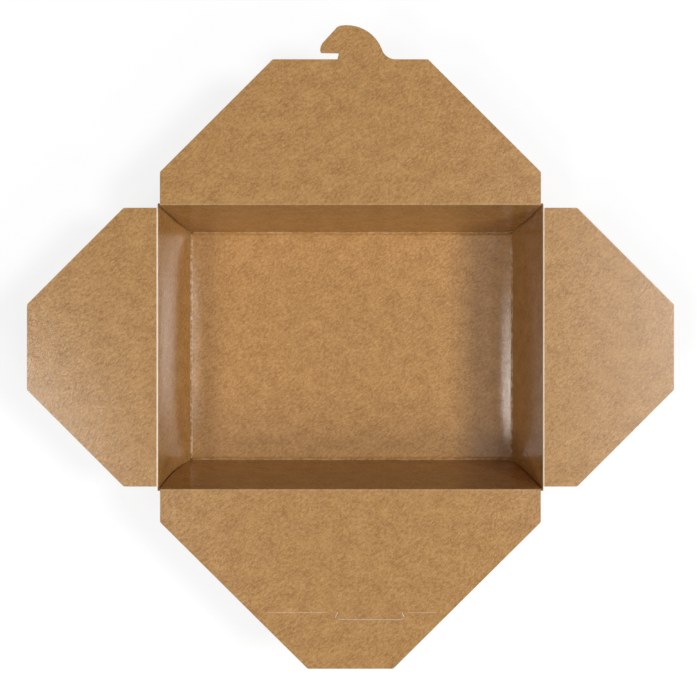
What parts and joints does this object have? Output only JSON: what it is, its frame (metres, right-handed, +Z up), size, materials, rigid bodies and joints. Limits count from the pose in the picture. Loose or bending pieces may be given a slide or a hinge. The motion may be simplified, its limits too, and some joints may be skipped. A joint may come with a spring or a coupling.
{
  "type": "takeaway box",
  "caption": "Open folded-board takeaway box with leaning walls, webbed leak-proof corners, hinged lid flaps, a hooked tab and the slit that takes it.",
  "frame": {"origin": "middle of the underside of the floor", "axes": "+X along the long side, towards the right flap; +Y towards the back, where the flap with the hooked tab is; +Z up"},
  "size_m": [0.3606, 0.3583, 0.0654],
  "materials": {
    "board": "satin"
  },
  "bodies": {
    "tray": {"tray": "board"},
    "tab_flap": {"tab_flap": "board"},
    "slot_flap": {"slot_flap": "board"},
    "left_flap": {"left_flap": "board"},
    "right_flap": {"right_flap": "board"}
  },
  "joints": [
    {"name": "tab_flap_hinge", "type": "hinge", "parent": "tray", "child": "tab_flap", "pos_m": [0, 0.07927, 0.0652], "axis": [1, 0, 0], "range_deg": [-38, 180]},
    {"name": "slot_flap_hinge", "type": "hinge", "parent": "tray", "child": "slot_flap", "pos_m": [0, -0.07919, 0.0646], "axis": [-1, 0, 0], "range_deg": [-38, 180]},
    {"name": "left_flap_hinge", "type": "hinge", "parent": "tray", "child": "left_flap", "pos_m": [-0.1075, 0, 0.064], "axis": [0, 1, 0], "range_deg": [-58, 180]},
    {"name": "right_flap_hinge", "type": "hinge", "parent": "tray", "child": "right_flap", "pos_m": [0.1075, 0, 0.064], "axis": [0, -1, 0], "range_deg": [-58, 180]}
  ]
}
